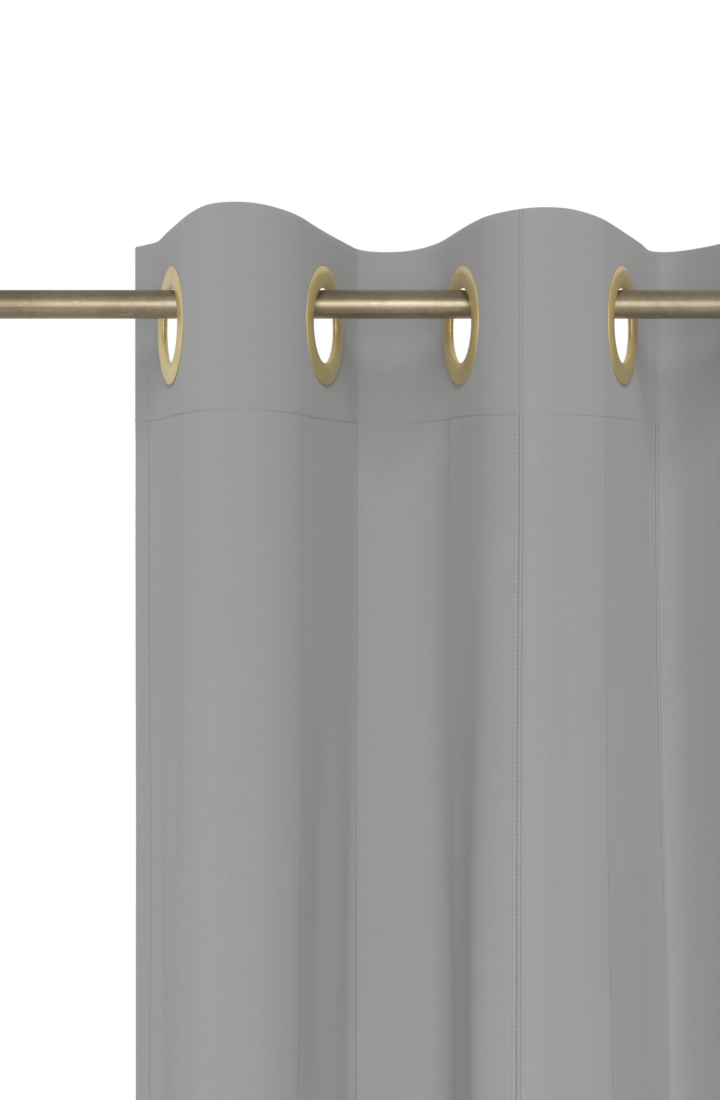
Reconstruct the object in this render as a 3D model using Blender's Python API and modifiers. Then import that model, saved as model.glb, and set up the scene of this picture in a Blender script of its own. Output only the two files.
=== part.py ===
"""Eyelet curtain panel on a round pole, drawn up in folds.

Metres, +X along the pole, +Y away from the room, +Z up. The origin is on the pole's axis at the
middle of its length. One cloth hangs from eight eyelets. It bends along the upright lines halfway
between them, so it is built as eight leaves, each with its own eyelet, joined like an accordion.
"""
import math

import bpy
import numpy as np

# Pole
POLE_RADIUS = 0.008
POLE_BORE_RADIUS = 0.0068
POLE_LENGTH = 1.200
CAP_RADIUS = 0.0088
CAP_HEAD = 0.0045
CAP_EDGE = 0.0010
CAP_PLUG = 0.012

# Panel, flat
EYELET_SPACING = 1.250 / 7
MARGIN_STRAIGHT = 0.0365
MARGIN_CURVED = 0.035
MARGIN_TURN = math.radians(25)
DROP = 2.450
CLOTH = 0.0008
STIFFENER = 0.0006
STIFFENER_DEPTH = 0.100
HEADER_DEPTH = 0.105
SIDE_HEM_WIDTH = 0.021

# Panel as it hangs: spaces along the pole and the angle between pole and cloth at each eyelet
TOP_EDGE = 0.0436
FIRST_EYELET_X = -0.470
EYELET_DROP = 0.0119
EYELET_PITCHES = (0.0853, 0.0769, 0.0897, 0.0830, 0.0865, 0.0800, 0.0850)
LEAF_ANGLES = tuple(math.radians(a) for a in (70.5, 73.5, 77.0, 65.0, 72.0, 74.5, 70.0, 72.5))

# Eyelets, as radius and height over the middle of the cloth
CLOTH_HOLE_RADIUS = 0.0226
EYELET_FRONT_PROFILE = (
    (0.0330, 0.0016), (0.0330, 0.0007), (0.0321, 0.0007), (0.0288, 0.0032),
    (0.0250, 0.0036), (0.0219, 0.0007), (0.0219, -0.0030), (0.0225, -0.0060),
    (0.0219, -0.0060), (0.0210, -0.0030), (0.0210, 0.0006), (0.0222, 0.0036),
    (0.0250, 0.0046), (0.0292, 0.0041),
)
EYELET_BACK_PROFILE = (
    (0.0330, -0.0027), (0.0330, -0.0035), (0.0292, -0.0058), (0.0252, -0.0064),
    (0.0230, -0.0053), (0.0230, -0.0045), (0.0252, -0.0054), (0.0288, -0.0048),
    (0.0321, -0.0027),
)

# Fineness and play
FIT_GAP = 0.0003
FOLD_PLAY_CLOTH = 0.0003
FOLD_PLAY_LAYERS = 0.0010
RING_STEPS = 20
POLE_STEPS = 32
ARC_STEPS = 5
CUTTER_REACH = 0.012

# Colour, roughness, metallic
FINISHES = {
    "grey_cloth": ((0.330, 0.330, 0.325), 0.90, 0.0),
    "white_stiffener": ((0.700, 0.700, 0.680), 0.95, 0.0),
    "eyelet_brass": ((0.620, 0.520, 0.290), 0.25, 1.0),
    "pole_brass": ((0.450, 0.390, 0.270), 0.35, 1.0),
    "cap_brass": ((0.420, 0.360, 0.250), 0.40, 1.0),
}


def clear_scene():
    for thing in list(bpy.data.objects):
        bpy.data.objects.remove(thing, do_unlink=True)


def new_collection(name):
    collection = bpy.data.collections.new(name)
    bpy.context.scene.collection.children.link(collection)
    return collection


def make_finishes():
    """One Principled material for each finish."""
    finishes = {}
    for name, (colour, roughness, metallic) in FINISHES.items():
        material = bpy.data.materials.new(name)
        material.use_nodes = True
        shader = material.node_tree.nodes["Principled BSDF"]
        shader.inputs["Base Color"].default_value = (*colour, 1.0)
        shader.inputs["Roughness"].default_value = roughness
        shader.inputs["Metallic"].default_value = metallic
        finishes[name] = material
    return finishes


def solve_fold(pitch, angle_left, angle_right):
    """Straight, straight and radius of a fold that leaves each eyelet at its own angle.

    The three lengths add up to the cloth between two eyelets, cross the pitch, and come back to
    the pole's line.
    """
    rows = (
        (1.0, 1.0, angle_left + angle_right),
        (math.cos(angle_left), math.cos(angle_right), math.sin(angle_left) + math.sin(angle_right)),
        (math.sin(angle_left), -math.sin(angle_right), math.cos(angle_right) - math.cos(angle_left)),
    )
    return np.linalg.solve(np.array(rows), np.array((EYELET_SPACING, pitch, 0.0)))


def fold_halves(start_x, pitch, angle_left, angle_right, side):
    """The two halves of one fold as plan points (x, y, heading), split halfway along the pitch.

    side is -1 for a fold towards the room and +1 for one towards the wall.
    """
    straight_left, straight_right, radius = solve_fold(pitch, angle_left, angle_right)
    centre_x = start_x + straight_left * math.cos(angle_left) + radius * math.sin(angle_left)
    centre_y = straight_left * math.sin(angle_left) - radius * math.cos(angle_left)
    middle = math.asin((centre_x - start_x - pitch / 2) / radius)

    def arc(first, last):
        turns = np.linspace(first, last, ARC_STEPS + 1)
        return [
            (centre_x - radius * math.sin(turn), side * (centre_y + radius * math.cos(turn)), side * turn)
            for turn in turns
        ]

    left = [(start_x, 0.0, side * angle_left)] + arc(angle_left, middle)
    right = arc(middle, -angle_right) + [(start_x + pitch, 0.0, -side * angle_right)]
    return left, right


def margin_path(eyelet_x, angle, end):
    """Plan points from the eyelet to the panel's side edge; end is -1 for the left edge."""
    bend = MARGIN_CURVED / MARGIN_TURN
    points = [(eyelet_x, 0.0, end * angle)]
    for turn in np.linspace(angle, angle - MARGIN_TURN, ARC_STEPS + 1):
        across = MARGIN_STRAIGHT * math.cos(angle) + bend * (math.sin(angle) - math.sin(turn))
        back = MARGIN_STRAIGHT * math.sin(angle) + bend * (math.cos(turn) - math.cos(angle))
        points.append((eyelet_x + end * across, back, end * turn))
    return points[::-1] if end < 0 else points


def plan_leaves():
    """Eyelet positions, fold lines and the plan path of each leaf, left to right."""
    eyelets = [FIRST_EYELET_X]
    for pitch in EYELET_PITCHES:
        eyelets.append(eyelets[-1] + pitch)
    halves = []
    for i, pitch in enumerate(EYELET_PITCHES):
        side = -1 if i % 2 == 0 else 1
        halves.append(fold_halves(eyelets[i], pitch, LEAF_ANGLES[i], LEAF_ANGLES[i + 1], side))
    folds = [left[-1] for left, right in halves]
    starts = [margin_path(eyelets[0], LEAF_ANGLES[0], -1)] + [right for left, right in halves]
    ends = [left for left, right in halves] + [margin_path(eyelets[-1], LEAF_ANGLES[-1], 1)]
    paths = [start[:-1] + end[1:] for start, end in zip(starts, ends)]
    return eyelets, folds, paths


def layer_path(path, offset, play_start, play_end):
    """The path moved off the cloth's middle, towards the room for a positive offset, and shortened."""
    points = [(x + offset * math.sin(h), y - offset * math.cos(h), h) for x, y, h in path]
    x, y, h = points[0]
    points[0] = (x + play_start * math.cos(h), y + play_start * math.sin(h), h)
    x, y, h = points[-1]
    points[-1] = (x - play_end * math.cos(h), y - play_end * math.sin(h), h)
    return [(x, y) for x, y, h in points]


def make_strip(name, points, thickness, low, high, material, collection):
    """An upright strip of cloth over a plan path, thickened evenly both ways."""
    curve = bpy.data.curves.new(name + "_path", "CURVE")
    curve.dimensions = "2D"
    curve.fill_mode = "NONE"
    curve.extrude = (high - low) / 2
    spline = curve.splines.new("POLY")
    spline.points.add(len(points) - 1)
    for point, (x, y) in zip(spline.points, points):
        point.co = (x, y, 0.0, 1.0)
    ribbon = bpy.data.objects.new(name + "_path", curve)
    collection.objects.link(ribbon)
    graph = bpy.context.evaluated_depsgraph_get()
    mesh = bpy.data.meshes.new_from_object(ribbon.evaluated_get(graph))
    bpy.data.objects.remove(ribbon, do_unlink=True)
    mesh.materials.clear()
    mesh.materials.append(material)
    strip = bpy.data.objects.new(name, mesh)
    strip.location.z = (high + low) / 2
    collection.objects.link(strip)
    shell = strip.modifiers.new("thickness", "SOLIDIFY")
    shell.thickness = thickness
    shell.offset = 0.0
    shell.use_even_offset = True
    return strip


def cut_eyelet_hole(strip, cutter):
    hole = strip.modifiers.new("eyelet_hole", "BOOLEAN")
    hole.operation = "DIFFERENCE"
    hole.solver = "EXACT"
    hole.object = cutter


def make_eyelet_cutter(name, centre, heading, collection):
    """A round punch through the header, square to the cloth."""
    bpy.ops.mesh.primitive_cylinder_add(
        vertices=RING_STEPS, radius=CLOTH_HOLE_RADIUS, depth=2 * CUTTER_REACH,
        location=centre, rotation=(math.pi / 2, 0.0, heading))
    cutter = bpy.context.object
    cutter.name = name
    for holder in list(cutter.users_collection):
        holder.objects.unlink(cutter)
    collection.objects.link(cutter)
    cutter.hide_render = True
    cutter.display_type = "WIRE"
    return cutter


def make_turned(name, profile, steps, closed, material, collection):
    """A piece turned about its own Z from a profile of (radius, height) points."""
    count = len(profile)
    edges = [(i, i + 1) for i in range(count - 1)]
    if closed:
        edges.append((count - 1, 0))
    mesh = bpy.data.meshes.new(name)
    mesh.from_pydata([(radius, 0.0, height) for radius, height in profile], edges, [])
    mesh.materials.append(material)
    piece = bpy.data.objects.new(name, mesh)
    collection.objects.link(piece)
    turn = piece.modifiers.new("turn", "SCREW")
    turn.axis = "Z"
    turn.angle = 2 * math.pi
    turn.steps = steps
    turn.render_steps = steps
    turn.use_merge_vertices = True
    turn.merge_threshold = 0.00001
    turn.use_smooth_shade = True
    return piece


def make_pole(finishes, collection):
    """The pole's tube and the two caps pushed into its ends."""
    half = POLE_LENGTH / 2
    profile = (
        (POLE_RADIUS, half), (POLE_RADIUS, -half), (POLE_BORE_RADIUS, -half), (POLE_BORE_RADIUS, half),
    )
    tube = make_turned("pole_tube", profile, POLE_STEPS, True, finishes["pole_brass"], collection)
    tube.rotation_euler = (0.0, math.pi / 2, 0.0)
    plug_radius = POLE_BORE_RADIUS - FIT_GAP
    cap_profile = (
        (0.0, CAP_HEAD), (CAP_RADIUS - CAP_EDGE, CAP_HEAD), (CAP_RADIUS, CAP_HEAD - CAP_EDGE),
        (CAP_RADIUS, 0.0), (plug_radius, 0.0), (plug_radius, -CAP_PLUG), (0.0, -CAP_PLUG),
    )
    for side, name in ((-1, "end_cap_left"), (1, "end_cap_right")):
        cap = make_turned(name, cap_profile, POLE_STEPS, False, finishes["cap_brass"], collection)
        cap.location.x = side * (half + FIT_GAP)
        cap.rotation_euler = (0.0, side * math.pi / 2, 0.0)


def make_leaf_cloth(number, path, is_first, is_last, cutter, finishes, collection):
    """Header face, stiffener and turned-down facing of one leaf, and its drop below the header."""
    stitch = TOP_EDGE - HEADER_DEPTH
    layers = (
        ("header_face", 0.0, CLOTH, stitch, TOP_EDGE, "grey_cloth"),
        ("header_stiffener", -(CLOTH + STIFFENER) / 2 - FIT_GAP, STIFFENER,
         TOP_EDGE - STIFFENER_DEPTH, TOP_EDGE - FIT_GAP, "white_stiffener"),
        ("header_facing", -CLOTH - STIFFENER - 2 * FIT_GAP, CLOTH, stitch, TOP_EDGE, "grey_cloth"),
        ("drop_cloth", 0.0, CLOTH, TOP_EDGE - DROP, stitch - FIT_GAP, "grey_cloth"),
    )
    pieces = []
    for name, offset, thickness, low, high, finish in layers:
        play = FOLD_PLAY_CLOTH if offset == 0.0 else FOLD_PLAY_LAYERS
        points = layer_path(path, offset, 0.0 if is_first else play, 0.0 if is_last else play)
        strip = make_strip(f"{name}_{number}", points, thickness, low, high, finishes[finish], collection)
        if high > stitch:
            cut_eyelet_hole(strip, cutter)
        pieces.append(strip)
    return pieces


def make_side_hem(name, path, finishes, collection):
    """The narrow turned hem behind a side edge, from the header to the bottom edge."""
    points = layer_path(path, -CLOTH - FIT_GAP, 0.0, 0.0)
    high = TOP_EDGE - HEADER_DEPTH - FIT_GAP
    return make_strip(name, points, CLOTH, TOP_EDGE - DROP, high, finishes["grey_cloth"], collection)


def make_eyelet(number, centre, heading, finishes, collection):
    """Front ring with its collar through the cloth, and the back ring that closes over it."""
    rings = []
    for name, profile in (("eyelet_front", EYELET_FRONT_PROFILE), ("eyelet_back", EYELET_BACK_PROFILE)):
        ring = make_turned(
            f"{name}_{number}", profile, RING_STEPS, True, finishes["eyelet_brass"], collection)
        ring.location = centre
        ring.rotation_euler = (math.pi / 2, 0.0, heading)
        rings.append(ring)
    return rings


def make_hinge_line(name, x, y, parent, collection):
    """An empty on the upright line that a leaf turns about, carried by the leaf before it."""
    line = bpy.data.objects.new(name, None)
    collection.objects.link(line)
    line.location = (x, y, 0.0)
    bpy.context.view_layer.update()
    attach(line, parent)
    return line


def attach(child, parent):
    if parent is not None:
        child.parent = parent
        child.matrix_parent_inverse = parent.matrix_world.inverted()
        bpy.context.view_layer.update()


def main():
    clear_scene()
    finishes = make_finishes()
    parts = new_collection("eyelet_curtain_panel")
    cutters = new_collection("eyelet_cutters")
    make_pole(finishes, parts)
    eyelets, folds, paths = plan_leaves()
    hem_points = 1 + round(SIDE_HEM_WIDTH * ARC_STEPS / MARGIN_CURVED)
    leaf = None
    for i, path in enumerate(paths):
        number = i + 1
        first, last = i == 0, i == len(paths) - 1
        heading = LEAF_ANGLES[i] if i % 2 else -LEAF_ANGLES[i]
        centre = (eyelets[i], 0.0, -EYELET_DROP)
        hinge = (eyelets[0], 0.0) if first else folds[i - 1][:2]
        leaf = make_hinge_line(f"leaf_{number}", *hinge, leaf, parts)
        cutter = make_eyelet_cutter(f"eyelet_punch_{number}", centre, heading, cutters)
        pieces = make_leaf_cloth(number, path, first, last, cutter, finishes, parts)
        pieces += make_eyelet(number, centre, heading, finishes, parts)
        if first:
            pieces.append(make_side_hem("side_hem_left", path[:hem_points], finishes, parts))
        if last:
            pieces.append(make_side_hem("side_hem_right", path[-hem_points:], finishes, parts))
        bpy.context.view_layer.update()
        for piece in pieces:
            attach(piece, leaf)


main()
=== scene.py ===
import math

import bmesh
import bpy
import numpy as np
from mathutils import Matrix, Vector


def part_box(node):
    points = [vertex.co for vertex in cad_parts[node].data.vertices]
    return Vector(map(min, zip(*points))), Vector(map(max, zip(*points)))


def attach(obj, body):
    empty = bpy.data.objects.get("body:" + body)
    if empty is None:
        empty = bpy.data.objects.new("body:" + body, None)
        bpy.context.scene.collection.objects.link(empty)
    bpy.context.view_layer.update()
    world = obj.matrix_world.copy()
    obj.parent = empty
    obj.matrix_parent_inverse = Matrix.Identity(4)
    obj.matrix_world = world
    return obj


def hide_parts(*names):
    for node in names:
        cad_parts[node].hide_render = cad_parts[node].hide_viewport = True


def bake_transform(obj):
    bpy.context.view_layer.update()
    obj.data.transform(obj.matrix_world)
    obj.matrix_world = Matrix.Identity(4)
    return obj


# Eyelet curtain panel, drawn up in folds on a round pole.
# Metres, +X along the pole, +Y away from the room, +Z up, as in the frame.
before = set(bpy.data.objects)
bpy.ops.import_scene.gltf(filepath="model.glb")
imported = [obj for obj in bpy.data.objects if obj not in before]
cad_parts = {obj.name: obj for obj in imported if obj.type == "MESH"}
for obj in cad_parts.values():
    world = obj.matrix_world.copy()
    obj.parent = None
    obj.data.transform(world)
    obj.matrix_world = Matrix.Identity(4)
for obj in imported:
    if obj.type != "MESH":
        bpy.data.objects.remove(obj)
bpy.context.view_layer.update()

eyeletCount = sum(name.startswith("eyelet_front_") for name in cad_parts)
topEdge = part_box("header_face_1")[1].z
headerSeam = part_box("header_face_1")[0].z
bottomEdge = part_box("drop_cloth_1")[0].z
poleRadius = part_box("pole_tube")[1].z
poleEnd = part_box("pole_tube")[1].x


def readEyelet(number):
    # An eyelet's axis is the direction in which its ring spreads least. Its centre is where that
    # axis crosses the pole's upright plane, and its heading is the way the cloth runs there.
    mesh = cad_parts[f"eyelet_front_{number}"].data
    points = np.empty(3 * len(mesh.vertices))
    mesh.vertices.foreach_get("co", points)
    points = np.unique(points.reshape(-1, 3).round(6), axis=0)
    middle = points.mean(axis=0)
    axis = np.linalg.svd(points - middle)[2][2]
    axis = axis if axis[1] < 0 else -axis
    return middle[0] - middle[1] * axis[0] / axis[1], middle[2], math.atan2(axis[0], -axis[1])


eyelets = np.array([readEyelet(k + 1) for k in range(eyeletCount)])
eyeletX, eyeletZ, eyeletHeading = eyelets[:, 0], eyelets[0, 1], eyelets[:, 2]
print("eyelets along the pole:", eyeletX.round(4).tolist())


# Camera

cameraPlace = {
    "rightOfFirstEyelet": 0.1054,
    "beforePole": 0.770,
    "belowPole": 0.101,
    "lens": 45.065,
    "sensor": 36.0,
    "lift": -0.0591,
}


def makeCamera():
    lens = bpy.data.cameras.new("studioCamera")
    lens.lens = cameraPlace["lens"]
    lens.sensor_width = cameraPlace["sensor"]
    lens.sensor_fit = "AUTO"
    lens.shift_y = cameraPlace["lift"]
    lens.clip_start = 0.01
    lens.clip_end = 50.0
    camera = bpy.data.objects.new("studioCamera", lens)
    camera.location = (
        eyeletX[0] + cameraPlace["rightOfFirstEyelet"], -cameraPlace["beforePole"], -cameraPlace["belowPole"])
    camera.rotation_euler = (math.pi / 2, 0.0, 0.0)
    bpy.context.scene.collection.objects.link(camera)
    bpy.context.scene.camera = camera


makeCamera()
print("camera placed")


# Small tools

def ease(value):
    # smooth step: 0 below 0, 1 above 1, and 3t^2 - 2t^3 between them
    t = np.clip(value, 0.0, 1.0)
    return t * t * (3.0 - 2.0 * t)


def gridFaces(rows, columns, closeRows=False, closeColumns=False):
    # four-sided faces between neighbouring rows and columns of a grid of points
    i = np.arange(rows if closeRows else rows - 1)[:, None]
    j = np.arange(columns if closeColumns else columns - 1)[None, :]
    nextRow, nextColumn = (i + 1) % rows, (j + 1) % columns
    corners = (
        i * columns + j, nextRow * columns + j,
        nextRow * columns + nextColumn, i * columns + nextColumn)
    return np.stack(np.broadcast_arrays(*corners), axis=-1).reshape(-1, 4)


def facingOut(points, faces):
    # the faces, turned over if the volume that they enclose comes out negative
    a, b, c, d = (points[faces[:, n]] for n in range(4))
    volume = np.sum(a * np.cross(b, c)) + np.sum(a * np.cross(c, d))
    return faces if volume > 0 else faces[:, ::-1]


def sharpBorder(mesh):
    # marks the edges that have a face on one side only, so shading stays level up to them
    edgeOfCorner = np.empty(len(mesh.loops), dtype=np.int32)
    mesh.loops.foreach_get("edge_index", edgeOfCorner)
    border = np.bincount(edgeOfCorner, minlength=len(mesh.edges)) == 1
    mesh.attributes.new("sharp_edge", "BOOLEAN", "EDGE").data.foreach_set("value", border)


def putMesh(name, points, faces, material, maps=None, weld=False):
    # the points and faces as a smooth object at the origin, with its flat maps
    mesh = bpy.data.meshes.new(name)
    mesh.from_pydata(points.tolist(), [], faces.tolist())
    for mapName, values in (maps or {}).items():
        layer = mesh.uv_layers.new(name=mapName)
        corner = np.empty(len(mesh.loops), dtype=np.int32)
        mesh.loops.foreach_get("vertex_index", corner)
        layer.data.foreach_set("uv", values[corner].astype(np.float32).ravel())
    if weld:
        work = bmesh.new()
        work.from_mesh(mesh)
        bmesh.ops.remove_doubles(work, verts=work.verts, dist=1e-6)
        bmesh.ops.recalc_face_normals(work, faces=work.faces)
        work.to_mesh(mesh)
        work.free()
    mesh.shade_smooth()
    mesh.materials.append(material)
    piece = bpy.data.objects.new(name, mesh)
    bpy.context.scene.collection.objects.link(piece)
    return piece


def smoothLoop(points, steps):
    # a closed curve through the points: each stretch is a cubic whose end slopes come from the
    # points on either side of it (Catmull-Rom)
    p = np.array(points)
    before, after, beyond = np.roll(p, 1, axis=0), np.roll(p, -1, axis=0), np.roll(p, -2, axis=0)
    t = (np.arange(steps) / steps)[None, :, None]
    p0, p1, p2, p3 = (q[:, None, :] for q in (before, p, after, beyond))
    curve = p1 + 0.5 * t * (p2 - p0 + t * (2 * p0 - 5 * p1 + 4 * p2 - p3 + t * (3 * (p1 - p2) + p3 - p0)))
    return curve.reshape(-1, 2)


def turnedPoints(profile, steps, centre, axis, across, up):
    # a profile of (radius, height) carried round an axis: centre + radius (cos a across + sin a up)
    # + height axis, for every angle a
    angle = 2 * math.pi * np.arange(steps) / steps
    spoke = np.cos(angle)[None, :, None] * across + np.sin(angle)[None, :, None] * up
    points = centre + profile[:, 0, None, None] * spoke + profile[:, 1, None, None] * axis
    return points.reshape(-1, 3)


# Node tools

def newGroup(name, inputs, outputs):
    group = bpy.data.node_groups.new(name, "ShaderNodeTree")
    for socketName, kind, value in inputs:
        socket = group.interface.new_socket(socketName, in_out="INPUT", socket_type=kind)
        if value is not None:
            socket.default_value = value
    for socketName, kind in outputs:
        group.interface.new_socket(socketName, in_out="OUTPUT", socket_type=kind)
    return group, group.nodes.new("NodeGroupInput").outputs, group.nodes.new("NodeGroupOutput").inputs


def plug(tree, value, socket):
    if isinstance(value, bpy.types.NodeSocket):
        tree.links.new(value, socket)
    else:
        socket.default_value = value


def calc(tree, operation, *values):
    node = tree.nodes.new("ShaderNodeMath")
    node.operation = operation
    for value, socket in zip(values, node.inputs):
        plug(tree, value, socket)
    return node.outputs[0]


def mapRange(tree, value, fromLow, fromHigh, toLow, toHigh, kind="SMOOTHSTEP"):
    node = tree.nodes.new("ShaderNodeMapRange")
    node.interpolation_type = kind
    for socketName, number in (
            ("Value", value), ("From Min", fromLow), ("From Max", fromHigh),
            ("To Min", toLow), ("To Max", toHigh)):
        plug(tree, number, node.inputs[socketName])
    return node.outputs["Result"]


def splitVector(tree, vector):
    node = tree.nodes.new("ShaderNodeSeparateXYZ")
    plug(tree, vector, node.inputs[0])
    return node.outputs


def joinVector(tree, x, y, z=0.0):
    node = tree.nodes.new("ShaderNodeCombineXYZ")
    for value, socket in zip((x, y, z), node.inputs):
        plug(tree, value, socket)
    return node.outputs[0]


def noise(tree, vector, scale, detail=2.0, roughness=0.5):
    node = tree.nodes.new("ShaderNodeTexNoise")
    plug(tree, vector, node.inputs["Vector"])
    plug(tree, scale, node.inputs["Scale"])
    node.inputs["Detail"].default_value = detail
    node.inputs["Roughness"].default_value = roughness
    return node.outputs["Fac"]


def tint(tree, colour, factor):
    # a colour multiplied by a number that changes over the surface
    node = tree.nodes.new("ShaderNodeMix")
    node.data_type = "RGBA"
    node.blend_type = "MULTIPLY"
    node.inputs["Factor"].default_value = 1.0
    plug(tree, colour, node.inputs[6])
    plug(tree, factor, node.inputs[7])
    return node.outputs[2]


def mixColours(tree, factor, first, second):
    node = tree.nodes.new("ShaderNodeMix")
    node.data_type = "RGBA"
    plug(tree, factor, node.inputs["Factor"])
    plug(tree, first, node.inputs[6])
    plug(tree, second, node.inputs[7])
    return node.outputs[2]


def placeGroup(tree, group, **values):
    node = tree.nodes.new("ShaderNodeGroup")
    node.node_tree = group
    for socketName, value in values.items():
        plug(tree, value, node.inputs[socketName])
    return node.outputs


def bump(tree, height, strength, distance):
    node = tree.nodes.new("ShaderNodeBump")
    plug(tree, height, node.inputs["Height"])
    node.inputs["Strength"].default_value = strength
    node.inputs["Distance"].default_value = distance
    return node.outputs["Normal"]


def newMaterial(name, roughness, metallic=0.0):
    material = bpy.data.materials.new(name)
    material.use_nodes = True
    tree = material.node_tree
    shader = tree.nodes["Principled BSDF"]
    shader.inputs["Roughness"].default_value = roughness
    shader.inputs["Metallic"].default_value = metallic
    return material, tree, shader


def flatMap(tree, name):
    node = tree.nodes.new("ShaderNodeUVMap")
    node.uv_map = name
    return node.outputs["UV"]


def objectPlace(tree):
    return tree.nodes.new("ShaderNodeTexCoord").outputs["Object"]


# Shared surface effects

def makeWeaveGroup():
    # Twill ribs are a sine of (height + or - width), so they lean one way and then the other from
    # band to band, and show in soft patches. Plain ground is a check, sine of width times sine of
    # height. Both ride on uneven threads. Map is flat distance in metres.
    group, given, out = newGroup("weave", [
        ("Map", "NodeSocketVector", None), ("Rib Pitch", "NodeSocketFloat", 0.0013),
        ("Thread Pitch", "NodeSocketFloat", 0.0007), ("Band", "NodeSocketFloat", 0.030),
        ("Twill", "NodeSocketFloat", 1.0)], [
        ("Rib", "NodeSocketFloat"), ("Plain", "NodeSocketFloat"), ("Height", "NodeSocketFloat")])
    u, v = splitVector(group, given["Map"])[:2]
    turn = 2 * math.pi
    bandPlace = calc(group, "DIVIDE", calc(group, "MULTIPLY", u, math.pi), given["Band"])
    lean = calc(group, "SIGN", calc(group, "SINE", bandPlace))
    ribPlace = calc(group, "DIVIDE", calc(group, "MULTIPLY_ADD", u, lean, v), given["Rib Pitch"])
    rib = calc(group, "SINE", calc(group, "MULTIPLY", ribPlace, turn))
    patch = noise(group, joinVector(
        group, calc(group, "MULTIPLY", u, 55.0), calc(group, "MULTIPLY", v, 26.0)), 1.0, 2.0)
    shown = calc(group, "MULTIPLY", given["Twill"], mapRange(group, patch, 0.38, 0.62, 0.15, 1.0))
    warp, weft = (
        calc(group, "SINE", calc(group, "MULTIPLY", calc(group, "DIVIDE", way, given["Thread Pitch"]), turn))
        for way in (u, v))
    check = calc(group, "MULTIPLY", warp, weft)
    slub = noise(group, joinVector(
        group, calc(group, "MULTIPLY", u, 900.0), calc(group, "MULTIPLY", v, 60.0)), 1.0)
    pick = noise(group, joinVector(
        group, calc(group, "MULTIPLY", u, 50.0), calc(group, "MULTIPLY", v, 800.0)), 1.0)
    uneven = calc(group, "SUBTRACT", calc(group, "ADD", slub, pick), 1.0)
    ribbed = calc(group, "MULTIPLY", rib, shown)
    group.links.new(ribbed, out["Rib"])
    plain = calc(group, "MULTIPLY_ADD", uneven, 2.0, calc(group, "MULTIPLY", check, 0.5))
    group.links.new(plain, out["Plain"])
    raised = calc(group, "MULTIPLY_ADD", ribbed, 0.6, calc(group, "MULTIPLY", check, 0.4))
    group.links.new(raised, out["Height"])
    return group


def makeThreadLineGroup():
    # 1 on an upright line of the given width, falling softly to 0 on both sides of it
    group, given, out = newGroup("threadLine", [
        ("Across", "NodeSocketFloat", 0.0), ("Centre", "NodeSocketFloat", 0.0),
        ("Width", "NodeSocketFloat", 0.001)], [("Mask", "NodeSocketFloat")])
    away = calc(group, "ABSOLUTE", calc(group, "SUBTRACT", given["Across"], given["Centre"]))
    inner = calc(group, "MULTIPLY", given["Width"], 0.25)
    outer = calc(group, "MULTIPLY", given["Width"], 0.75)
    group.links.new(mapRange(group, away, inner, outer, 1.0, 0.0), out["Mask"])
    return group


def makeGrainGroup():
    # long fine streaks along X, as drawn or brushed metal has, from noise stretched along X
    group, given, out = newGroup("brushedGrain", [
        ("Place", "NodeSocketVector", None), ("Length", "NodeSocketFloat", 12.0),
        ("Fineness", "NodeSocketFloat", 1400.0)], [
        ("Grain", "NodeSocketFloat"), ("Scratch", "NodeSocketFloat")])
    x, y, z = splitVector(group, given["Place"])
    stretched = joinVector(
        group, calc(group, "MULTIPLY", x, given["Length"]),
        calc(group, "MULTIPLY", y, given["Fineness"]), calc(group, "MULTIPLY", z, given["Fineness"]))
    grain = noise(group, stretched, 1.0, 3.0, 0.6)
    dash = joinVector(
        group, calc(group, "MULTIPLY", x, calc(group, "MULTIPLY", given["Length"], 8.0)),
        calc(group, "MULTIPLY", y, calc(group, "MULTIPLY", given["Fineness"], 0.6)),
        calc(group, "MULTIPLY", z, calc(group, "MULTIPLY", given["Fineness"], 0.6)))
    scratch = mapRange(group, noise(group, dash, 1.0, 1.0), 0.70, 0.78, 0.0, 1.0)
    group.links.new(grain, out["Grain"])
    group.links.new(scratch, out["Scratch"])
    return group


def makePatinaGroup():
    # slow cloudy change from handling and lacquer, from two sizes of noise
    group, given, out = newGroup("patina", [
        ("Place", "NodeSocketVector", None), ("Cloud", "NodeSocketFloat", 22.0)], [
        ("Amount", "NodeSocketFloat")])
    broad = noise(group, given["Place"], given["Cloud"], 2.0)
    fine = noise(group, given["Place"], calc(group, "MULTIPLY", given["Cloud"], 14.0), 3.0, 0.65)
    mixed = calc(group, "ADD", calc(group, "MULTIPLY", broad, 0.65), calc(group, "MULTIPLY", fine, 0.35))
    group.links.new(mapRange(group, mixed, 0.35, 0.65, 0.0, 1.0), out["Amount"])
    return group


weaveGroup = makeWeaveGroup()
threadLineGroup = makeThreadLineGroup()
grainGroup = makeGrainGroup()
patinaGroup = makePatinaGroup()


# Materials

clothFinish = {
    "colour": (0.402, 0.402, 0.402, 1.0),
    "roughness": 0.85,
    "diffuseRoughness": 0.72,
    "sheen": 0.065,
    "sheenRoughness": 0.6,
    "ribPitch": 0.0015,
    "threadPitch": 0.00078,
    "slopeBand": 0.046,
    "plainTone": 0.045,          # change of brightness from thread to gap in plain ground
    "twillTone": 0.340,          # and from rib to gap where the twill shows
    "twillLift": 0.035,
    "cloudTone": 0.045,
    "lineWidth": 0.0013,
    "lineTone": 0.26,            # how much darker an openwork line is
    "singleLine": 2.3,           # the line of a narrow stripe, against those of a wide one
    "rungPitch": 0.0023,
    "headerShow": 0.35,          # share of the openwork that shows where the header backs it
    "satinTone": 0.085,          # how much lighter the satin beside a wide stripe is
    "satinWidth": 0.024,
}

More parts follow.
